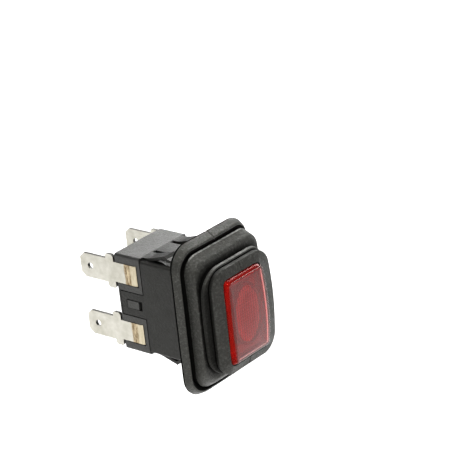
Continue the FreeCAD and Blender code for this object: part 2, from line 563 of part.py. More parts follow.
for side, sign in SIDES:
    for tag, up in (("upper", 1), ("lower", -1)):
        terminal("terminal_%s_%s" % (tag, side), sign, up)
        name = "fixed_contact_%s_%s" % (tag, side)
        x, z = d.contact_x * sign, d.row_z * up
        piece(fuse(
            name,
            cyl(name + "_head", "Y", x, d.fixed_y, z, d.contact_rad, d.shelf_y - d.fixed_y),
            cyl(name + "_shank", "Y", x, d.shelf_y - 0.1, z, d.shank_rad, d.tab_thick + 0.1),
        ), name)

# ------------------------------------------------------- bridges and contacts
for side, sign in SIDES:
    b = doc.addObject("PartDesign::Body", "body_contact_bridge_" + side)
    bind(b, "Placement.Base.x", d.contact_x * sign)
    strip = body_sketch(b, "bridge_outline_" + side, "XZ_Plane", -d.bridge_y - d.bridge_thick)
    hx, hz = d.bridge_hx, d.bridge_hz
    polygon(strip, [
        (-hx + 0.4, -hz), (hx - 0.4, -hz), (hx, -hz + 0.5), (hx, hz - 0.5), (hx - 0.4, hz), (-hx + 0.4, hz),
        (-hx, hz - 0.5), (-hx, -hz + 0.5),
    ])
    pad = b.newObject("PartDesign::Pad", "bridge_pad_" + side)
    pad.Profile = strip
    bind(pad, "Length", d.bridge_thick)
    doc.recompute()
    volume = b.Shape.Volume
    holes = body_sketch(b, "bridge_holes_" + side, "XZ_Plane", -d.bridge_y)
    for i, up in enumerate((1, -1)):
        holes.addGeometry(Part.Circle(V(0, d.row_z.v * up, 0), V(0, 0, 1), d.shank_rad.v + 0.02), False)
        pin_point(holes, i, 3, 0.0, d.row_z * up)
        k = holes.addConstraint(Sketcher.Constraint("Radius", i, d.shank_rad.v + 0.02))
        holes.setExpression("Constraints[%d]" % k, (d.shank_rad + 0.02).e)
    drill = b.newObject("PartDesign::Pocket", "bridge_drill_" + side)
    drill.Profile = holes
    drill.SideType = "Symmetric"
    bind(drill, "Length", 6.0)
    doc.recompute()
    if not b.Shape.Volume < volume - 0.5:
        raise RuntimeError("rivet holes miss the bridge")
    b.Tip = drill
    piece(b, "contact_bridge_" + side)
    for tag, up in (("upper", 1), ("lower", -1)):
        name = "moving_contact_%s_%s" % (tag, side)
        x, z = d.contact_x * sign, d.row_z * up
        piece(fuse(
            name,
            cyl(name + "_head", "Y", x, d.bridge_y + d.bridge_thick, z, d.contact_rad, d.moving_y - d.bridge_y - d.bridge_thick),
            cyl(name + "_shank", "Y", x, d.bridge_y - 0.1, z, d.shank_rad, d.bridge_thick + 0.2),
            cyl(name + "_tail", "Y", x, d.bridge_y - 0.35, z, d.contact_rad - 0.2, 0.35),
        ), name)
    x = d.contact_x * sign
    piece(cut(
        "contact_spring_" + side,
        cyl("contact_spring_out_" + side, "Y", x, d.slider_rear_y + 0.05, 0.0, d.contact_spring_rad, d.bridge_y - d.slider_rear_y - 0.1),
        cyl("contact_spring_in_" + side, "Y", x, d.slider_rear_y - 0.5, 0.0, d.contact_spring_bore, 6.0),
    ), "contact_spring_" + side)

# -------------------------------------------------- return spring and latch
piece(cut(
    "return_spring",
    cyl("return_spring_out", "Y", 0.0, d.spring_seat_y + 0.05, 0.0, d.spring_rad, d.floor_y - d.spring_seat_y - 0.1),
    cyl("return_spring_in", "Y", 0.0, d.spring_seat_y - 1.0, 0.0, d.spring_in_rad, 14.0),
), "return_spring")

piece(fuse(
    "latch_wire",
    cyl("wire_pivot", "Z", 0.0, d.pivot_y, 7.2, d.wire_rad, d.wire_z - 7.2),
    ball("wire_elbow_rear", 0.0, d.pivot_y, d.wire_z, d.wire_rad),
    cyl("wire_arm", "Y", 0.0, d.pin_y, d.wire_z, d.wire_rad, d.pivot_y - d.pin_y),
    ball("wire_elbow_front", 0.0, d.pin_y, d.wire_z, d.wire_rad),
    cyl("wire_pin", "Z", 0.0, d.pin_y, d.cam_top - d.track_deep + 0.2, d.pin_rad, d.wire_z - d.cam_top + d.track_deep - 0.2),
), "latch_wire")

leaf = doc.addObject("PartDesign::Body", "body_latch_leaf")
leaf_sketch = body_sketch(leaf, "leaf_outline", "XY_Plane", d.leaf_z)
polygon(leaf_sketch, [
    (-d.leaf_hx, d.leaf_rear_y), (-d.leaf_hx, d.pin_y + 3.0), (-0.55, d.leaf_front_y), (0.55, d.leaf_front_y),
    (d.leaf_hx, d.pin_y + 3.0), (d.leaf_hx, d.leaf_rear_y),
])
leaf_pad = leaf.newObject("PartDesign::Pad", "leaf_pad")
leaf_pad.Profile = leaf_sketch
bind(leaf_pad, "Length", d.leaf_thick)
doc.recompute()
piece(leaf, "latch_leaf")

# ----------------------------------------------------------------------- lamp
piece(fuse(
    "lamp_bulb",
    cyl("lamp_glass", "Y", 0.0, d.lamp_tip_y + d.lamp_rad, 0.0, d.lamp_rad, d.post_y - d.lamp_tip_y - d.lamp_rad - 0.02),
    ball("lamp_dome", 0.0, d.lamp_tip_y + d.lamp_rad, 0.0, d.lamp_rad),
), "lamp_bulb")
piece(fuse(
    "lamp_resistor",
    cyl("resistor_body", "Y", d.resistor_x, 3.5, 0.0, d.resistor_rad, 5.5),
    cyl("resistor_leg", "Y", d.resistor_x, d.post_y, 0.0, d.lead_rad, 8.4),
), "lamp_resistor")
for side, sign in SIDES:
    x = -d.lead_x if sign < 0 else d.resistor_x
    start = d.post_y if sign < 0 else d.post_y + 8.4
    length = d.lead_y - start
    reach = 3.8 - d.lead_x if sign < 0 else 3.8 - d.resistor_x
    piece(fuse(
        "lamp_lead_" + side,
        cyl("lead_drop_" + side, "Y", x, start, 0.0, d.lead_rad, length),
        ball("lead_elbow_%s_1" % side, x, d.lead_y, 0.0, d.lead_rad),
        cyl("lead_rise_" + side, "Z", x, d.lead_y, 0.0, d.lead_rad, d.lead_z),
        ball("lead_elbow_%s_2" % side, x, d.lead_y, d.lead_z, d.lead_rad),
        cyl("lead_end_" + side, "X", dim(-3.8) if sign < 0 else x, d.lead_y, d.lead_z, d.lead_rad, reach),
    ), "lamp_lead_" + side)

doc.recompute()

# --------------------------------------------------------------------- checks
problems = []
for obj in doc.Objects:
    if "Invalid" in obj.State or "Error" in obj.State:
        problems.append("%s: %s" % (obj.Name, ",".join(obj.State)))
for obj in pieces:
    shape = obj.Shape
    if shape.isNull() or not shape.isValid() or shape.Volume <= 0:
        problems.append("%s: bad shape" % obj.Label)
    elif len(shape.Solids) != 1:
        problems.append("%s: %d solids" % (obj.Label, len(shape.Solids)))
if problems:
    raise RuntimeError("; ".join(problems))

os.makedirs("parts", exist_ok=True)
for obj in pieces:
    obj.Shape.exportStep("parts/%s.step" % obj.Label)
    bb = obj.Shape.BoundBox
    print("%-28s vol %8.2f  x %6.2f..%6.2f  y %6.2f..%6.2f  z %6.2f..%6.2f" % (
        obj.Label, obj.Shape.Volume, bb.XMin, bb.XMax, bb.YMin, bb.YMax, bb.ZMin, bb.ZMax))
print("%d pieces" % len(pieces))
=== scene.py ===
import bpy
import bmesh
import math
from mathutils import Matrix, Vector, noise


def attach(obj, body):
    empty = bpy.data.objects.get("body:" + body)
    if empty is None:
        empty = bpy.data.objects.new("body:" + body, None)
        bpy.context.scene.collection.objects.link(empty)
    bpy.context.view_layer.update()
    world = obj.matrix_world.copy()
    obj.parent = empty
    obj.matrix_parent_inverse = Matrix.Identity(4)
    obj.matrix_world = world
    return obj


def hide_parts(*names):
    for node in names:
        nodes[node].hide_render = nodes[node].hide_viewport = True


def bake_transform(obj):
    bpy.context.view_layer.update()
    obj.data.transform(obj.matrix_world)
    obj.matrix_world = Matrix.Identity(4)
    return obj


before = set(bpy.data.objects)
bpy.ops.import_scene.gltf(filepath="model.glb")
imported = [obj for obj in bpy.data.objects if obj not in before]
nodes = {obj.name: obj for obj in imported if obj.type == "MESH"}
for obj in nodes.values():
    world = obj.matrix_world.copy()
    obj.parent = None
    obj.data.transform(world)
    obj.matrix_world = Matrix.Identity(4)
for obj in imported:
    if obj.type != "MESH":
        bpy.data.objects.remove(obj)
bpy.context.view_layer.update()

MM = 0.001
scene = bpy.context.scene


# ------------------------------------------------------------------ materials
def new_material(name):
    m = bpy.data.materials.new(name)
    m.use_nodes = True
    t = m.node_tree
    t.nodes.clear()
    out = t.nodes.new("ShaderNodeOutputMaterial")
    p = t.nodes.new("ShaderNodeBsdfPrincipled")
    t.links.new(p.outputs["BSDF"], out.inputs["Surface"])
    return m, t, p


def coords(t, scale=(1.0, 1.0, 1.0)):
    c = t.nodes.new("ShaderNodeTexCoord")
    m = t.nodes.new("ShaderNodeMapping")
    m.inputs["Scale"].default_value = scale
    t.links.new(c.outputs["Object"], m.inputs["Vector"])
    return m.outputs["Vector"]


def noise_tex(t, vec, scale, detail=3.0, rough=0.55):
    n = t.nodes.new("ShaderNodeTexNoise")
    n.inputs["Scale"].default_value = scale
    n.inputs["Detail"].default_value = detail
    n.inputs["Roughness"].default_value = rough
    t.links.new(vec, n.inputs["Vector"])
    return n.outputs["Fac"]


def ramp(t, fac, stops):
    r = t.nodes.new("ShaderNodeValToRGB")
    e = r.color_ramp.elements
    while len(e) < len(stops):
        e.new(0.5)
    for k, (pos, col) in enumerate(stops):
        e[k].position = pos
        e[k].color = (*col, 1.0)
    t.links.new(fac, r.inputs["Fac"])
    return r.outputs["Color"]


def remap(t, fac, lo, hi, a=0.0, b=1.0):
    r = t.nodes.new("ShaderNodeMapRange")
    r.inputs["From Min"].default_value = a
    r.inputs["From Max"].default_value = b
    r.inputs["To Min"].default_value = lo
    r.inputs["To Max"].default_value = hi
    t.links.new(fac, r.inputs["Value"])
    return r.outputs["Result"]


def mix_rgb(t, fac, a, b, kind="MIX"):
    m = t.nodes.new("ShaderNodeMix")
    m.data_type = "RGBA"
    m.blend_type = kind
    t.links.new(fac, m.inputs[0])
    t.links.new(a, m.inputs[6])
    t.links.new(b, m.inputs[7])
    return m.outputs[2]


def bump(t, p, height, strength, distance):
    b = t.nodes.new("ShaderNodeBump")
    b.inputs["Strength"].default_value = strength
    b.inputs["Distance"].default_value = distance
    t.links.new(height, b.inputs["Height"])
    t.links.new(b.outputs["Normal"], p.inputs["Normal"])
    return b


def grained(name, dark, light, rough_lo, rough_hi, grain, height, spec=0.5, patches=250.0, tint=(1.0, 1.0, 1.0), dust=0.0):
    """Moulded plastic or rubber: slow colour drift, fine grain, roughness that follows both."""
    m, t, p = new_material(name)
    v = coords(t)
    slow = noise_tex(t, v, patches, 4.0)
    fine = noise_tex(t, v, grain, 2.0, 0.6)
    pitted = noise_tex(t, v, grain * 0.3, 4.0, 0.75)
    both = t.nodes.new("ShaderNodeMath")
    both.operation = "MULTIPLY_ADD"
    t.links.new(pitted, both.inputs[0])
    both.inputs[1].default_value = 2.2
    t.links.new(fine, both.inputs[2])
    drift = t.nodes.new("ShaderNodeMath")
    drift.operation = "MULTIPLY_ADD"
    t.links.new(pitted, drift.inputs[0])
    drift.inputs[1].default_value = 0.8
    t.links.new(slow, drift.inputs[2])
    body = ramp(t, slow, [(0.3, dark), (0.7, light)])
    if dust > 0.0:
        speck = noise_tex(t, v, grain * 0.42, 3.0, 0.6)
        pale = ramp(t, slow, [(0.3, (dust, dust, dust * 0.93)), (0.7, (dust * 1.4, dust * 1.4, dust * 1.3))])
        body = mix_rgb(t, remap(t, speck, 0.0, 1.0, 0.50, 0.74), body, pale)
    t.links.new(body, p.inputs["Base Color"])
    t.links.new(remap(t, drift.outputs[0], rough_lo, rough_hi, 0.65, 1.15), p.inputs["Roughness"])
    bump(t, p, both.outputs[0], height, 0.00013)
    p.inputs["Specular IOR Level"].default_value = spec
    p.inputs["Specular Tint"].default_value = (*tint, 1.0)
    return m, t, p


housing_mat, _, _ = grained("housing_plastic", (0.0075, 0.0075, 0.0073), (0.012, 0.012, 0.0112), 0.34, 0.56, 5200.0, 0.4, 0.22, 250.0, (1.0, 0.99, 0.90), 0.006)
base_mat, _, _ = grained("base_plastic", (0.011, 0.011, 0.0106), (0.018, 0.018, 0.017), 0.34, 0.52, 5200.0, 0.4, 0.46, 250.0, (1.0, 0.99, 0.93))
plunger_mat, _, _ = grained("plunger_plastic", (0.30, 0.28, 0.27), (0.40, 0.38, 0.36), 0.35, 0.5, 4200.0, 0.3)


def rubber_material():
    """Black rubber: dust specks on the open faces; down in the folds it is rougher and carries painted shade (darker
    colour, weaker reflection); a painted highlight strip lies on one ridge.
    """
    m, t, p = grained("boot_rubber", (0.0062, 0.0063, 0.0054), (0.0105, 0.0105, 0.0088), 0.28, 0.56, 4200.0, 0.75, 0.40, 250.0, (1.0, 0.995, 0.90), 0.044)
    a = t.nodes.new("ShaderNodeAttribute")
    a.attribute_name = "open"
    # Painted shade: where the section around a station is closed in, the colour goes to the dark shade colour and the
    # reflection gets weaker.
    free = remap(t, a.outputs["Fac"], 0.0, 1.0, 0.35, 0.85)
    dusty = p.inputs["Base Color"].links[0].from_socket
    fold_painted_shade = ramp(t, noise_tex(t, coords(t), 250.0, 3.0), [(0.3, (0.0022, 0.0022, 0.002)), (0.7, (0.0036, 0.0036, 0.0032))])
    # Painted highlight: stations marked above 1 get a pale colour, a stronger reflection and less roughness.
    painted_highlight_mask = remap(t, a.outputs["Fac"], 0.0, 1.0, 1.1, 1.9)
    painted_highlight_colour = ramp(t, noise_tex(t, coords(t), 900.0, 3.0), [(0.35, (0.07, 0.07, 0.066)), (0.65, (0.24, 0.24, 0.23))])
    t.links.new(mix_rgb(t, painted_highlight_mask, mix_rgb(t, free, fold_painted_shade, dusty), painted_highlight_colour), p.inputs["Base Color"])
    shine = t.nodes.new("ShaderNodeMath")
    shine.operation = "ADD"
    t.links.new(remap(t, free, 0.03, 0.44), shine.inputs[0])
    t.links.new(remap(t, painted_highlight_mask, 0.0, 0.45), shine.inputs[1])
    t.links.new(shine.outputs[0], p.inputs["Specular IOR Level"])
    dull = t.nodes.new("ShaderNodeMath")
    dull.operation = "ADD"
    t.links.new(p.inputs["Roughness"].links[0].from_socket, dull.inputs[0])
    t.links.new(remap(t, free, 0.4, 0.0), dull.inputs[1])
    roughness_with_highlight = t.nodes.new("ShaderNodeMath")
    roughness_with_highlight.operation = "SUBTRACT"
    t.links.new(dull.outputs[0], roughness_with_highlight.inputs[0])
    t.links.new(remap(t, painted_highlight_mask, 0.0, 0.22), roughness_with_highlight.inputs[1])
    t.links.new(roughness_with_highlight.outputs[0], p.inputs["Roughness"])
    return m


boot_mat = rubber_material()


def tab_material():
    """Tin plate: bright faces, painted shade on the thin edge faces, a streaked band by the base and a cream bend
    before it.
    """
    m, t, p = new_material("tab_tin_plate")
    v = coords(t)
    brushed = noise_tex(t, coords(t, (1.0, 0.12, 1.0)), 2600.0, 4.0, 0.65)
    blotch = noise_tex(t, v, 420.0, 4.0, 0.6)
    tin = ramp(t, blotch, [(0.32, (0.41, 0.395, 0.335)), (0.68, (0.55, 0.535, 0.48))])
    streaks = noise_tex(t, coords(t, (1.0, 1.0, 0.3)), 1500.0, 4.0, 0.7)
    brass = ramp(t, streaks, [(0.40, (0.15, 0.105, 0.055)), (0.62, (0.50, 0.41, 0.27))])
    cream = ramp(t, streaks, [(0.3, (0.38, 0.33, 0.225)), (0.7, (0.56, 0.50, 0.37))])
    # Painted shade: dark colour for the plate's thin edge faces.
    edge = ramp(t, blotch, [(0.32, (0.07, 0.068, 0.06)), (0.68, (0.14, 0.137, 0.125))])
    sep = t.nodes.new("ShaderNodeSeparateXYZ")
    t.links.new(v, sep.inputs[0])
    wobble = t.nodes.new("ShaderNodeMath")
    wobble.operation = "MULTIPLY_ADD"
    t.links.new(noise_tex(t, v, 500.0, 2.0), wobble.inputs[0])
    wobble.inputs[1].default_value = 0.0004
    t.links.new(sep.outputs["Y"], wobble.inputs[2])

    def step(source, lo, hi):
        w = t.nodes.new("ShaderNodeMapRange")
        w.interpolation_type = "SMOOTHSTEP"
        w.inputs["From Min"].default_value = lo
        w.inputs["From Max"].default_value = hi
        t.links.new(source, w.inputs["Value"])
        return w.outputs["Result"]

    front = mix_rgb(t, step(wobble.outputs[0], 0.0175, 0.0180), cream, brass)
    flat = mix_rgb(t, step(wobble.outputs[0], 0.0194, 0.0199), front, tin)
    geo = t.nodes.new("ShaderNodeNewGeometry")
    normal = t.nodes.new("ShaderNodeSeparateXYZ")
    t.links.new(geo.outputs["Normal"], normal.inputs[0])
    facing = t.nodes.new("ShaderNodeMath")
    facing.operation = "ABSOLUTE"
    t.links.new(normal.outputs["X"], facing.inputs[0])
    # Painted shade: faces not turned to the sides (the thin edges) take the dark edge colour.
    t.links.new(mix_rgb(t, step(facing.outputs[0], 0.4, 0.7), edge, flat), p.inputs["Base Color"])
    p.inputs["Metallic"].default_value = 1.0
    t.links.new(remap(t, brushed, 0.28, 0.46, 0.3, 0.7), p.inputs["Roughness"])
    bump(t, p, brushed, 0.35, 0.00002)
    return m


tab_mat = tab_material()


def metal(name, dark, light, rough_lo, rough_hi, scale=1800.0):
    m, t, p = new_material(name)
    v = coords(t)
    n = noise_tex(t, v, scale, 4.0, 0.6)
    t.links.new(ramp(t, n, [(0.3, dark), (0.7, light)]), p.inputs["Base Color"])
    p.inputs["Metallic"].default_value = 1.0
    t.links.new(remap(t, n, rough_lo, rough_hi, 0.3, 0.7), p.inputs["Roughness"])
    bump(t, p, n, 0.25, 0.00002)
    return m


contact_mat = metal("contact_silver", (0.80, 0.79, 0.77), (0.90, 0.89, 0.87), 0.18, 0.30)
bridge_mat = metal("bridge_brass", (0.58, 0.40, 0.17), (0.74, 0.54, 0.27), 0.25, 0.40)
spring_mat = metal("spring_wire", (0.48, 0.48, 0.49), (0.62, 0.62, 0.62), 0.2, 0.34, 3000.0)
lead_mat = metal("lead_tinned", (0.66, 0.65, 0.63), (0.78, 0.77, 0.75), 0.25, 0.4, 3000.0)
resistor_mat, _, _ = grained("resistor_lacquer", (0.45, 0.35, 0.20), (0.58, 0.47, 0.29), 0.25, 0.4, 3000.0, 0.2)


def glass_material():
    m, t, p = new_material("lamp_glass")
    v = coords(t)
    n = noise_tex(t, v, 700.0, 3.0)
    t.links.new(ramp(t, n, [(0.3, (0.95, 0.80, 0.70)), (0.7, (1.0, 0.92, 0.85))]), p.inputs["Base Color"])
    t.links.new(remap(t, n, 0.03, 0.1), p.inputs["Roughness"])
    p.inputs["Transmission Weight"].default_value = 0.85
    p.inputs["IOR"].default_value = 1.5
    bump(t, p, n, 0.1, 0.00002)
    return m


lamp_mat = glass_material()


def lens_material():
    """Clear red plastic: painted light makes the sloped flanks a brighter, deeper red; a painted pale sheen lies along
    the face's right and bottom edges, and the reflection strength is painted too, stronger towards the lower right with
    a painted glint along the top front edge.
    """
    m, t, p = new_material("lens_red")
    v = coords(t)
    slow = noise_tex(t, v, 260.0, 3.0)
    fine = noise_tex(t, v, 1800.0, 3.0, 0.6)
    sep = t.nodes.new("ShaderNodeSeparateXYZ")
    t.links.new(v, sep.inputs[0])
    face = remap(t, sep.outputs["Y"], 1.0, 0.0, -0.01078, -0.01069)
    body = ramp(t, slow, [(0.3, (0.52, 0.017, 0.014)), (0.7, (0.59, 0.026, 0.021))])
    # Painted light: the flanks are a brighter, deeper red than the face.
    flank = ramp(t, slow, [(0.3, (0.84, 0.014, 0.008)), (0.7, (0.92, 0.024, 0.014))])
    # Painted sheen: pale colour for the face's right and bottom edges.
    rim = ramp(t, slow, [(0.3, (0.58, 0.25, 0.23)), (0.7, (0.67, 0.33, 0.31))])

    def maths(kind, a, b):
        k = t.nodes.new("ShaderNodeMath")
        k.operation = kind
        t.links.new(a, k.inputs[0])
        t.links.new(b, k.inputs[1])
        return k

    # Mask for the painted sheen: a strip along the right edge and one along the bottom, short of the far left.
    low = maths("MULTIPLY", remap(t, sep.outputs["Z"], 1.0, 0.0, -0.0099, -0.0088), remap(t, sep.outputs["X"], 0.0, 1.0, -0.0058, -0.0050))
    side = maths("MAXIMUM", remap(t, sep.outputs["X"], 0.0, 1.0, 0.0050, 0.0060), low.outputs[0])
    left_flank = maths("MULTIPLY", remap(t, sep.outputs["X"], 1.0, 0.0, -0.0058, -0.0055), remap(t, face, 1.0, 0.0))
    lens_colour_with_painted_light = mix_rgb(t, side.outputs[0], mix_rgb(t, face, flank, body), rim)
    t.links.new(lens_colour_with_painted_light, p.inputs["Base Color"])
    t.links.new(remap(t, fine, 0.02, 0.05, 0.3, 0.7), p.inputs["Roughness"])
    t.links.new(remap(t, left_flank.outputs[0], 0.9, 0.8), p.inputs["Transmission Weight"])
    p.inputs["IOR"].default_value = 1.49
    t.links.new(ramp(t, face, [(0.0, (0.62, 0.07, 0.05)), (1.0, (1.0, 0.9, 0.88))]), p.inputs["Specular Tint"])
    # Painted reflection: the reflection strength rises towards the lower right and in a thin band at the top front edge
    # as a painted glint; the flanks keep little.
    painted_sheen_slope = t.nodes.new("ShaderNodeMath")
    painted_sheen_slope.operation = "MULTIPLY_ADD"
    t.links.new(sep.outputs["Z"], painted_sheen_slope.inputs[0])
    painted_sheen_slope.inputs[1].default_value = -0.35
    t.links.new(sep.outputs["X"], painted_sheen_slope.inputs[2])
    painted_reflection_level = t.nodes.new("ShaderNodeMath")
    painted_reflection_level.operation = "MULTIPLY"
    painted_glint_band = remap(t, sep.outputs["Z"], 0.0, 0.9, 0.00975, 0.00992)
    t.links.new(maths("MAXIMUM", remap(t, painted_sheen_slope.outputs[0], 0.0, 0.47, -0.003, 0.009), painted_glint_band).outputs[0], painted_reflection_level.inputs[0])
    t.links.new(remap(t, face, 0.16, 1.0), painted_reflection_level.inputs[1])
    t.links.new(painted_reflection_level.outputs[0], p.inputs["Specular IOR Level"])
    bump(t, p, fine, 0.015, 0.00001)
    return m


lens_mat = lens_material()


def diffuser_material():
    """Frosted insert: pale inside the oval, dark round its rim; painted light and shade in stripes make the rib crests
    pale and the troughs darker.
    """
    m, t, p = new_material("diffuser_frosted")
    v = coords(t)
    n = noise_tex(t, v, 900.0, 3.0)
    sep = t.nodes.new("ShaderNodeSeparateXYZ")
    t.links.new(v, sep.inputs[0])

    def square(out, scale):
        k = t.nodes.new("ShaderNodeMath")
        k.operation = "MULTIPLY"
        k.inputs[1].default_value = scale
        t.links.new(out, k.inputs[0])
        q = t.nodes.new("ShaderNodeMath")
        q.operation = "MULTIPLY"
        t.links.new(k.outputs[0], q.inputs[0])
        t.links.new(k.outputs[0], q.inputs[1])
        return q.outputs[0]

    total = t.nodes.new("ShaderNodeMath")
    total.operation = "ADD"
    t.links.new(square(sep.outputs["X"], 1.0 / 0.0042), total.inputs[0])
    shifted = t.nodes.new("ShaderNodeMath")
    shifted.operation = "SUBTRACT"
    shifted.inputs[1].default_value = 0.0002
    t.links.new(sep.outputs["Z"], shifted.inputs[0])
    t.links.new(square(shifted.outputs[0], 1.0 / 0.00695), total.inputs[1])
    rim = t.nodes.new("ShaderNodeMapRange")
    rim.inputs["From Min"].default_value = 0.94
    rim.inputs["From Max"].default_value = 1.06
    t.links.new(total.outputs[0], rim.inputs["Value"])

    def wave(out, period):
        k = t.nodes.new("ShaderNodeMath")
        k.operation = "MULTIPLY"
        k.inputs[1].default_value = math.pi / period
        t.links.new(out, k.inputs[0])
        w = t.nodes.new("ShaderNodeMath")
        w.operation = "SINE"
        t.links.new(k.outputs[0], w.inputs[0])
        a = t.nodes.new("ShaderNodeMath")
        a.operation = "ABSOLUTE"
        t.links.new(w.outputs[0], a.inputs[0])
        return a.outputs[0]

    # Painted light and shade: the rib crests are pale and the troughs between them darker, in step with the ribs built
    # in build_diffuser.
    rib_painted_light_shade = t.nodes.new("ShaderNodeMath")
    rib_painted_light_shade.operation = "MULTIPLY_ADD"
    t.links.new(wave(sep.outputs["Z"], 0.0008), rib_painted_light_shade.inputs[0])
    rib_painted_light_shade.inputs[1].default_value = 0.35
    t.links.new(wave(sep.outputs["X"], 0.0008), rib_painted_light_shade.inputs[2])
    pale = ramp(t, remap(t, rib_painted_light_shade.outputs[0], 0.0, 1.0, 0.0, 1.3), [(0.25, (0.27, 0.10, 0.08)), (0.85, (1.0, 0.9, 0.86))])
    dark = ramp(t, n, [(0.3, (0.003, 0.002, 0.002)), (0.7, (0.008, 0.005, 0.005))])
    t.links.new(mix_rgb(t, rim.outputs["Result"], pale, dark), p.inputs["Base Color"])
    t.links.new(remap(t, n, 0.3, 0.45), p.inputs["Roughness"])
    bump(t, p, n, 0.2, 0.00003)
    return m


diffuser_mat = diffuser_material()

BY_SLOT = {
    "front_housing": housing_mat, "rear_base": base_mat, "plunger": plunger_mat, "latch_wire": spring_mat,
    "latch_leaf": spring_mat, "lamp_bulb": lamp_mat, "lamp_resistor": resistor_mat, "lamp_lead_left": lead_mat,
    "lamp_lead_right": lead_mat,
}


def paint(obj, mat):
    if not obj.material_slots:
        obj.data.materials.append(mat)
    for s in obj.material_slots:
        s.link = "OBJECT"
        s.material = mat


for name, obj in nodes.items():
    if name.startswith("terminal_"):
        paint(obj, tab_mat)
    elif name.startswith(("fixed_contact", "moving_contact")):
        paint(obj, contact_mat)
    elif name.startswith("contact_bridge"):
        paint(obj, bridge_mat)
    elif name in BY_SLOT:
        paint(obj, BY_SLOT[name])


# ------------------------------------------------------------- ring geometry
def side_fractions(kind):
    if kind == "centre":
        half = [0.0, 0.1, 0.2, 0.3, 0.38, 0.43, 0.46, 0.475, 0.485, 0.492, 0.497]
        return half + [1.0 - v for v in reversed(half)]
    return [k / 28.0 for k in range(29)]


def ring_outline(hx, hz, r, arc=12, right=None, right_r=None):
    """Points round a rounded rectangle; the same number in every ring."""
    pts = []
    rx = hx if right is None else right
    rr = r if right_r is None else right_r
    sides = [
        ((rx, -hz + rr), (rx, hz - rr), "plain", (rx - rr, hz - rr), rr, 0.0),
        ((rx - rr, hz), (r - hx, hz), "centre", (r - hx, hz - r), r, 90.0),
        ((-hx, hz - r), (-hx, r - hz), "plain", (r - hx, r - hz), r, 180.0),
        ((r - hx, -hz), (rx - rr, -hz), "centre", (rx - rr, rr - hz), rr, 270.0),
    ]
    for a, b, kind, centre, rad, start in sides:
        for f in side_fractions(kind):
            pts.append((a[0] + (b[0] - a[0]) * f, a[1] + (b[1] - a[1]) * f))
        for k in range(1, arc):
            ang = math.radians(start + 90.0 * k / arc)
            pts.append((centre[0] + rad * math.cos(ang), centre[1] + rad * math.sin(ang)))
    return pts


def lerp(a, b, f):
    return tuple(x + (y - x) * f for x, y in zip(a, b))


def gap(a, b):
    """Distance between two stations, seen in section."""
    return math.sqrt((0.25 * (a[0] - b[0] + a[1] - b[1] + 2 * (a[2] - b[2]))) ** 2 + (a[5] - b[5]) ** 2)


def rounded_profile(stations, closed=True, longest=0.5, steps=5):
    """Stations are numbers of which the last is the rounding; the sixth is y."""
    out = []
    n = len(stations)
    for i, s in enumerate(stations):
        p, f = s[:-1], s[-1]
        if (not closed and i in (0, n - 1)) or f <= 0.0:
            out.append(p)
            continue
        a, b = stations[(i - 1) % n][:-1], stations[(i + 1) % n][:-1]
        ca = min(f, 0.48 * gap(a, p)) / max(gap(a, p), 1e-6)
        cb = min(f, 0.48 * gap(b, p)) / max(gap(b, p), 1e-6)
        pa, pb = lerp(p, a, ca), lerp(p, b, cb)
        for k in range(steps + 1):
            t = k / steps
            out.append(lerp(lerp(pa, p, t), lerp(p, pb, t), t))
    dense = []
    m = len(out)
    for i in range(m if closed else m - 1):
        a, b = out[i], out[(i + 1) % m]
        cuts = max(1, math.ceil(gap(a, b) / longest))
        for k in range(cuts):
            dense.append(lerp(a, b, k / cuts))
    if not closed:
        dense.append(out[-1])
    return dense


def mesh_object(name, verts, faces, mat, smooth=True):
    me = bpy.data.meshes.new(name)
    me.from_pydata([tuple(c * MM for c in v) for v in verts], [], faces)
    me.validate()
    bm = bmesh.new()
    bm.from_mesh(me)
    bmesh.ops.recalc_face_normals(bm, faces=bm.faces)
    bm.to_mesh(me)
    bm.free()
    if smooth:
        me.polygons.foreach_set("use_smooth", [True] * len(me.polygons))
    me.materials.append(mat)
    ob = bpy.data.objects.new(name, me)
    scene.collection.objects.link(ob)
    return ob


def band(rings, count, closed):
    faces = []
    last = rings if closed else rings - 1
    for i in range(last):
        j = (i + 1) % rings
        for k in range(count):
            l = (k + 1) % count
            faces.append((i * count + k, i * count + l, j * count + l, j * count + k))
    return faces


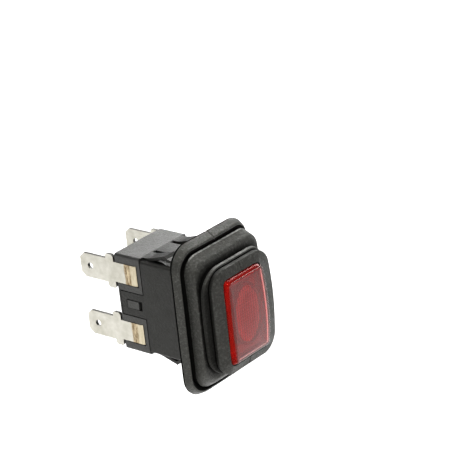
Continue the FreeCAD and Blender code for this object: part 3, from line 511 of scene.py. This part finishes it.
# ------------------------------------------------------------------- boot
BOOT = [
    # left, right, half height, left radius, right radius, y, right y shift, left bow, right bow, z shift, left y shift, rounding
    (12.3, 11.7, 18.0, 4.4, 4.2, 0.0, 0.0, 0.0, 0.0, 0.0, 0.0, 0.2),
    (13.35, 12.95, 19.2, 5.4, 5.2, 0.0, 0.0, 0.2, 0.0, 0.0, 0.0, 0.0),
    (13.42, 13.02, 19.27, 5.45, 5.25, -0.12, 0.0, 0.2, 0.0, 0.0, 0.0, 0.02),
    (13.12, 12.72, 18.97, 5.2, 5.0, -0.34, 0.0, 0.2, 0.0, 0.0, 0.0, 0.02),
    (13.5, 13.1, 19.35, 5.5, 5.3, -0.6, 0.0, 0.2, 0.0, 0.0, 0.0, 0.06),
    (13.0, 12.05, 18.25, 5.0, 3.6, -2.55, 0.4, 0.0, 0.0, -0.1, 0.3, 0.3),
    (12.6, 11.6, 17.55, 4.8, 3.4, -2.62, 0.4, 0.0, 0.0, -0.1, 0.3, 0.2),
    (11.85, 11.5, 16.8, 4.6, 3.3, -1.4, 0.1, -0.1, 0.0, -0.2, 0.1, 0.1),
    (11.62, 12.08, 17.04, 4.5, 3.2, -2.2, 0.0, -0.25, 0.0, -0.25, 0.0, 0.05),
    (11.66, 12.12, 17.0, 4.5, 3.2, -2.46, 0.0, -0.25, 0.0, -0.25, 0.0, 0.03),
    (11.64, 12.15, 16.84, 4.5, 3.2, -2.82, 0.0, -0.25, 0.0, -0.25, 0.0, 0.03),
    (11.4, 12.5, 15.6, 4.5, 3.1, -4.75, 0.0, -0.2, 0.1, -0.25, 0.0, 0.3),
    (11.05, 11.95, 14.7, 4.7, 3.4, -5.3, 0.0, 0.0, 0.15, -0.2, 0.0, 0.3),
    (10.0, 10.7, 12.9, 4.5, 3.7, -5.4, 0.0, 0.1, 0.3, 0.0, 0.0, 0.12),
    (9.7, 10.2, 12.5, 4.5, 3.8, -5.95, 0.0, 0.1, 0.3, 0.0, 0.0, 0.1),
    (10.6, 10.95, 13.65, 5.9, 4.0, -6.4, 0.0, 0.85, 0.45, 0.0, 0.0, 0.12),
    (10.5, 10.85, 13.55, 5.8, 4.1, -7.15, 0.0, 0.85, 0.6, 0.0, 0.0, 0.12),
    (9.5, 10.65, 13.2, 4.4, 4.0, -7.4, 0.0, 0.1, 0.7, 0.0, 0.0, 0.06),
    (9.32, 10.1, 12.65, 4.1, 4.0, -7.05, 0.0, 0.1, 0.8, 0.0, 0.0, 0.05),
    (9.42, 10.5, 13.15, 4.2, 4.0, -7.75, 0.0, 0.1, 1.2, -0.05, 0.0, 0.1),
    (9.6, 10.3, 13.35, 4.4, 4.0, -9.0, 0.0, 0.1, 1.45, -0.08, 0.5, 0.25),
    (6.85, 6.85, 11.05, 1.5, 1.3, -9.85, 0.0, 0.0, 0.0, -0.1, 0.0, 0.12),
    (6.66, 6.62, 10.82, 1.3, 1.05, -9.5, 0.0, 0.0, 0.0, -0.1, 0.0, 0.05),
    (6.66, 6.62, 10.82, 1.3, 1.05, -8.5, 0.0, 0.0, 0.0, -0.1, 0.0, 0.0),
    (9.24, 9.5, 12.25, 3.6, 4.0, -8.2, 0.0, 0.1, 0.1, 0.0, 0.0, 0.3),
    (9.24, 9.6, 12.3, 3.6, 4.1, -6.6, 0.0, 0.1, 0.1, 0.0, 0.0, 0.3),
    (9.3, 9.6, 12.3, 4.1, 4.1, -5.5, 0.0, 0.0, 0.0, 0.0, 0.0, 0.3),
    (10.1, 10.8, 13.9, 3.9, 3.6, -4.3, 0.0, 0.0, 0.0, 0.0, 0.0, 0.3),
    (10.4, 11.0, 15.4, 3.6, 3.2, -2.02, 0.0, 0.0, 0.0, 0.0, 0.0, 0.1),
    (10.6, 10.6, 16.0, 3.25, 3.25, -2.0, 0.0, 0.0, 0.0, 0.0, 0.0, 0.0),
    (10.6, 10.6, 16.0, 3.25, 3.25, -0.9, 0.0, 0.0, 0.0, 0.0, 0.0, 0.0),
    (9.3, 9.3, 14.9, 2.2, 2.2, -0.9, 0.0, 0.0, 0.0, 0.0, 0.0, 0.1),
    (9.3, 9.3, 14.9, 2.2, 2.2, 0.0, 0.0, 0.0, 0.0, 0.0, 0.0, 0.25),
    (11.1, 10.8, 16.4, 3.4, 3.4, 0.0, 0.0, 0.0, 0.0, 0.0, 0.0, 0.25),
    (11.1, 10.8, 16.4, 3.4, 3.4, -0.9, 0.0, 0.0, 0.0, 0.0, 0.0, 0.15),
    (12.3, 11.7, 18.0, 4.4, 4.2, -0.9, 0.0, 0.0, 0.0, 0.0, 0.0, 0.2),
]


def openness(stations):
    """Share of the half plane in front of each station that the section itself leaves free."""
    pts = [(s[2], s[5]) for s in stations]
    n = len(pts)
    free = []
    for i in range(n):
        (ax, ay), (bx, by) = pts[i - 1], pts[(i + 1) % n]
        px, py = pts[i]
        tx, ty = bx - ax, by - ay
        size = math.hypot(tx, ty) or 1.0
        nx, ny = -ty / size, tx / size
        if nx * (px - 14.0) + ny * (py + 3.0) < 0.0 and i < 60:
            nx, ny = -nx, -ny
        ox, oy = px + nx * 0.02, py + ny * 0.02
        hits = 0
        for k in range(24):
            a = math.radians(-82.0 + 164.0 * k / 23)
            dx, dy = nx * math.cos(a) - ny * math.sin(a), nx * math.sin(a) + ny * math.cos(a)
            for j in range(n):
                x1, y1 = pts[j]
                x2, y2 = pts[(j + 1) % n]
                ex, ey = x2 - x1, y2 - y1
                det = dx * -ey + dy * ex
                if abs(det) < 1e-9:
                    continue
                wx, wy = x1 - ox, y1 - oy
                t = (wx * -ey + wy * ex) / det
                u = (dx * wy - dy * wx) / det
                if 0.0 < t < 6.0 and 0.0 <= u <= 1.0:
                    hits += 1
                    break
        free.append(1.0 - hits / 24.0)
    return free


def build_boot():
    stations = rounded_profile(BOOT)
    # How open the section is around each station sets the painted shade in the folds (the "open" attribute).
    free = openness(stations)
    # A value of 2 marks a thin strip on top of the ridge just in front of the flange, for the painted highlight.
    free = [2.0 if -2.83 < s[5] < -2.44 and 16.8 < s[2] < 17.3 else f for s, f in zip(stations, free)]
    # Painted shade: ahead of y = -7.5 the share is cut to 0.74, darkening the cap's colour and reflection.
    free = [f * 0.74 if s[5] < -7.5 else f for s, f in zip(stations, free)]
    # Painted shade: along the flange's back edge the share is zero, giving a thin dark line beside the small groove
    # there.
    free = [0.0 if s[5] > -0.5 and s[2] > 18.6 else f for s, f in zip(stations, free)]
    verts = []
    for hx, rx, hz, r, rr, y, dy, bow, right_bow, up, ldy in stations:
        for x, z in ring_outline(hx, hz, r, right=rx, right_r=rr):
            side = max(0.0, 1.0 - (z / hz) ** 2)
            edge = min(1.0, abs(x) / (rx if x > 0 else hx)) ** 2
            yy = y + (dy * (x / rx) ** 2 if x > 0 else ldy * (x / hx) ** 2)
            x += (right_bow if x > 0 else -bow) * side * edge
            verts.append((x, yy, z + up))
    count = len(ring_outline(10.0, 12.0, 3.0))
    # mould seam across the outside, top and bottom, and a faint rubber waviness
    out = []
    for x, y, z in verts:
        if y < 0.05 and abs(z) > 11.5:
            depth = -0.3 if abs(z) > 17.3 else 0.09
            z += depth * math.exp(-((x + 0.05) / 0.15) ** 2) * (1 if z > 0 else -1)
        if y < -7.6 and abs(z) > 10.9:
            y += 0.2 * math.exp(-((x - 0.13) / 0.13) ** 2)
        w = noise.noise(Vector((x * 0.16, y * 0.3, z * 0.16))) * 0.05
        x += w * (1 if x > 0 else -1) * min(1.0, abs(x) / 6.0)
        out.append((x, y, z))
    ob = mesh_object("boot_rubber", out, band(len(stations), count, True), boot_mat)
    layer = ob.data.attributes.new("open", "FLOAT", "POINT")
    values = []
    for i, f in enumerate(free):
        for x, y, z in out[i * count:(i + 1) * count]:
            share = 1.0
            # Painted shade: on the ring just behind the cap the share is cut towards its sides and bottom.
            if -7.5 < y < -6.2:
                share = 0.64 + 0.36 * min(1.0, max(0.0, (z - 8.5) / 3.0))
            # The painted highlight strip keeps full strength only along the top.
            top = min(1.0, max(0.0, (z - 15.6) / 0.9))
            values.append(1.0 + (f - 1.0) * top if f > 1.0 else f * share)
    layer.data.foreach_set("value", values)
    return ob


boot = build_boot()
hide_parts("rubber_boot")
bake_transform(boot)


# ------------------------------------------------------------------- lens
CROWN = 0.96


def crown(x, z, half=10.2):
    """How far the face bulges forward: least along the left edge."""
    f = max(0.0, 1.0 - (z / half) ** 2)
    across = min(1.0, max(0.0, (x + 6.0) / 8.0))
    return CROWN * f * (0.45 + 0.55 * across * across * (3.0 - 2.0 * across))


def build_lens():
    # left, right, half height, corner radius, y, crown weight
    rows = [(6.6, 6.58, 10.78, 1.25, y, 0.0) for y in (-8.5, -8.9, -9.3, -9.6)]
    rows.append((6.58, 6.56, 10.7, 1.2, -9.8, 0.0))
    steps = 6
    for k in range(1, steps):
        f = k / steps
        rows.append((6.54 - 0.66 * f, 6.56 - 0.12 * f, 10.66 - 0.44 * f, 1.15 - 0.55 * f, -9.9 - 0.78 * f, f))
    rows.append((5.83, 6.37, 10.17, 0.56, -10.74, 1.0))
    rows.append((5.79, 6.26, 10.08, 0.54, -10.8, 1.0))
    rows.append((5.71, 6.1, 9.97, 0.5, -10.83, 1.0))
    for k in (0.97, 0.93, 0.87, 0.8, 0.72, 0.64, 0.56, 0.48, 0.4, 0.32, 0.24, 0.16, 0.09, 0.03):
        rows.append((5.71 * k, 6.1 * k, 9.97 * k, 0.5 * k, -10.83, 1.0))
    verts = []
    count = len(ring_outline(5.0, 9.0, 0.5, arc=8))
    for hx, rx, hz, r, y, w in rows:
        for x, z in ring_outline(hx, hz, r, arc=8, right=rx):
            verts.append((x, y - crown(x, z) * w, z - 0.1))
    faces = band(len(rows), count, False)
    last = (len(rows) - 1) * count
    faces.append(tuple(last + k for k in range(count)))
    # rim, inner walls and roof
    inner = [
        (8.0, 11.8, 1.6, -8.45, 0.0), (8.0, 11.8, 1.6, -7.9, 0.0), (5.35, 9.8, 0.6, -7.9, 0.0),
        (5.35, 9.8, 0.6, -8.8, 0.0), (5.3, 9.75, 0.6, -9.8, 0.2), (5.25, 9.7, 0.55, -10.34, 0.6),
        (5.2, 9.65, 0.5, -10.4, 0.6),
    ]
    inner += [(5.2 * k, 9.65 * k, 0.5 * k, -10.4, 0.6) for k in (0.9, 0.75, 0.6, 0.45, 0.3, 0.15, 0.04)]
    base = len(verts)
    for hx, hz, r, y, w in inner:
        for x, z in ring_outline(hx, hz, r, arc=8, right=hx if hx > 6.0 else hx * 1.13):
            verts.append((x, y - crown(x, z) * w, z))
    faces += [tuple(base + i for i in f) for f in band(len(inner), count, False)]
    last = base + (len(inner) - 1) * count
    faces.append(tuple(last + k for k in range(count)))
    for k in range(count):
        l = (k + 1) % count
        faces.append((k, l, base + l, base + k))
    return mesh_object("lens_red", verts, faces, lens_mat)


lens = build_lens()
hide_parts("button_lens")
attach(lens, "button")


# --------------------------------------------------- ribbed oval light insert
def build_diffuser():
    """Oval cup, open to the rear, with a raised rim and fine upright ribs on its face."""
    verts, faces = [], []
    seg = 96

    def loop(ax, az, y):
        start = len(verts)
        for k in range(seg):
            a = 2 * math.pi * k / seg
            verts.append((ax * math.cos(a), y, 0.2 + az * math.sin(a)))
        return start

    loops = [
        loop(3.85, 6.8, -7.9), loop(5.1, 7.85, -7.9), loop(5.1, 7.85, -10.15), loop(5.0, 7.77, -10.3),
        loop(4.5, 7.3, -10.3), loop(4.36, 7.15, -10.1), loop(4.2, 6.95, -9.95),
    ]
    for a, b in zip(loops, loops[1:]):
        for k in range(seg):
            l = (k + 1) % seg
            faces.append((a + k, a + l, b + l, b + k))
    inner = loop(3.85, 6.8, -9.7)
    a, b = loops[0], inner
    for k in range(seg):
        l = (k + 1) % seg
        faces.append((b + k, b + l, a + l, a + k))
    faces.append(tuple(inner + k for k in range(seg)))
    # ribbed face as rows across the oval
    cols = 128
    rows = 150
    grid = []
    for i in range(cols + 1):
        x = -4.2 + 8.4 * i / cols
        reach = 6.95 * math.sqrt(max(0.0, 1.0 - (x / 4.2) ** 2))
        col = []
        for j in range(rows + 1):
            z = -reach + 2 * reach * j / rows
            col.append(len(verts))
            rib = 0.24 * abs(math.sin(math.pi * x / 0.8)) + 0.07 * abs(math.sin(math.pi * z / 0.8))
            verts.append((x, -9.9 - rib * min(1.0, max(0.0, reach - abs(z)) / 0.3), z + 0.2))
        grid.append(col)
    for i in range(cols):
        for j in range(rows):
            faces.append((grid[i][j], grid[i + 1][j], grid[i + 1][j + 1], grid[i][j + 1]))
    return mesh_object("diffuser_ribbed", verts, faces, diffuser_mat)


diffuser = build_diffuser()
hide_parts("lens_diffuser")
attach(diffuser, "button")


# ---------------------------------------------------------------- springs
def coil(name, cx, cz, y0, y1, radius, wire, turns):
    """Round wire coil with closed end turns, along Y."""
    verts, faces = [], []
    per = 28
    ring = 10
    total = int(per * turns)
    centres = []
    for i in range(total + 1):
        a = 2 * math.pi * i / per
        f = i / total
        # the end turns lie flat
        g = min(1.0, max(0.0, (f * turns - 0.9) / (turns - 1.8)))
        y = y0 + wire + (y1 - y0 - 2 * wire) * g
        y += (f * turns if f * turns < 0.9 else 0.9) * 0.0
        centres.append(Vector((cx + radius * math.cos(a), y, cz + radius * math.sin(a))))
    for i, c in enumerate(centres):
        a = 2 * math.pi * i / per
        out = Vector((math.cos(a), 0, math.sin(a)))
        nxt = centres[min(i + 1, total)] - centres[max(i - 1, 0)]
        side = nxt.normalized().cross(out).normalized()
        for k in range(ring):
            b = 2 * math.pi * k / ring
            verts.append(tuple(c + (out * math.cos(b) + side * math.sin(b)) * wire))
    for i in range(total):
        for k in range(ring):
            l = (k + 1) % ring
            faces.append((i * ring + k, i * ring + l, (i + 1) * ring + l, (i + 1) * ring + k))
    faces.append(tuple(range(ring)))
    faces.append(tuple(total * ring + k for k in range(ring)))
    return mesh_object(name, verts, faces, spring_mat)


main_coil = coil("return_coil", 0.0, 0.0, 6.05, 16.35, 2.4, 0.28, 7.5)
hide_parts("return_spring")
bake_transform(main_coil)
for side, sign in (("left", -1), ("right", 1)):
    c = coil("contact_coil_" + side, 4.8 * sign, 0.0, 7.45, 11.05, 0.95, 0.18, 5.0)
    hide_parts("contact_spring_" + side)
    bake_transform(c)

# ------------------------------------------------------------ floor and light
bpy.ops.mesh.primitive_plane_add(size=6.0, location=(0, 0, -0.060))
floor = bpy.context.object
floor.name = "floor"
fm, ft, fp = new_material("floor_pale")
fv = coords(ft)
pale = ramp(ft, noise_tex(ft, fv, 3.0), [(0.3, (0.93, 0.93, 0.93)), (0.7, (0.95, 0.95, 0.95))])
ft.links.new(pale, fp.inputs["Base Color"])
fp.inputs["Roughness"].default_value = 0.9
fp.inputs["Specular IOR Level"].default_value = 0.1
ft.links.new(pale, fp.inputs["Emission Color"])
fp.inputs["Emission Strength"].default_value = 0.14
floor.data.materials.append(fm)

world = bpy.data.worlds.new("studio")
scene.world = world
world.use_nodes = True
wt = world.node_tree
bg = wt.nodes["Background"]
wc = wt.nodes.new("ShaderNodeTexCoord")
ws = wt.nodes.new("ShaderNodeSeparateXYZ")
wt.links.new(wc.outputs["Generated"], ws.inputs[0])
sky = wt.nodes.new("ShaderNodeValToRGB")
for pos, level in ((0.06, 1.3), (0.2, 0.7), (0.34, 0.28)):
    stop = sky.color_ramp.elements.new(pos)
    stop.color = (level, level, level * 1.01, 1.0)
sky.color_ramp.elements[0].color = (1.5, 1.5, 1.5, 1.0)
sky.color_ramp.elements[-1].position = 0.85
sky.color_ramp.elements[-1].color = (1.0, 1.0, 1.0, 1.0)
wt.links.new(ws.outputs["Z"], sky.inputs["Fac"])
wt.links.new(sky.outputs["Color"], bg.inputs["Color"])
bg.inputs["Strength"].default_value = 0.6


def area(name, pos, target, size, power, color=(1, 1, 1)):
    l = bpy.data.lights.new(name, "AREA")
    l.shape = "RECTANGLE"
    l.size, l.size_y = size
    l.energy = power
    l.color = color
    o = bpy.data.objects.new(name, l)
    o.location = pos
    o.rotation_euler = (Vector(target) - Vector(pos)).to_track_quat("-Z", "Y").to_euler()
    scene.collection.objects.link(o)
    return o


area("key", (-0.05, 0.03, 0.6), (0, 0, 0), (0.34, 0.34), 2.6)
area("ridge", (0.417, 0.27, 0.336), (0, 0, 0), (0.10, 0.10), 2.6)
area("edge", (0.417, 0.03, 0.43), (0, 0, 0), (0.08, 0.4), 1.1)
area("glint", (0.417, -0.32, 0.289), (0, 0, 0), (0.13, 0.13), 0.5)
area("corner", (-0.26, -0.31, 0.45), (0, 0, 0), (0.08, 0.08), 0.9)
area("fill", (-0.55, -0.25, 0.12), (0, 0, 0), (0.3, 0.3), 0.19)

# ------------------------------------------------------------------- camera
cam_data = bpy.data.cameras.new("camera")
cam_data.sensor_width = 36.0
cam_data.lens = 1743.28 / 460.0 * 36.0
cam_data.clip_start = 0.01
cam_data.clip_end = 20.0
cam = bpy.data.objects.new("camera", cam_data)
right = Vector((0.6261269975, -0.7734992574, -0.0983050450))
down = Vector((-0.3525189739, -0.1683626970, -0.9205348293))
ahead = Vector((0.6954821034, 0.6110261024, -0.3780896007))
m = Matrix.Identity(4)
for i in range(3):
    m[i][0] = right[i]
    m[i][1] = -down[i]
    m[i][2] = -ahead[i]
m[0][3], m[1][3], m[2][3] = -0.27829966, -0.25216352, 0.17211917
cam.matrix_world = m
scene.collection.objects.link(cam)
scene.camera = cam
scene.view_settings.view_transform = "Standard"
scene.view_settings.look = "None"
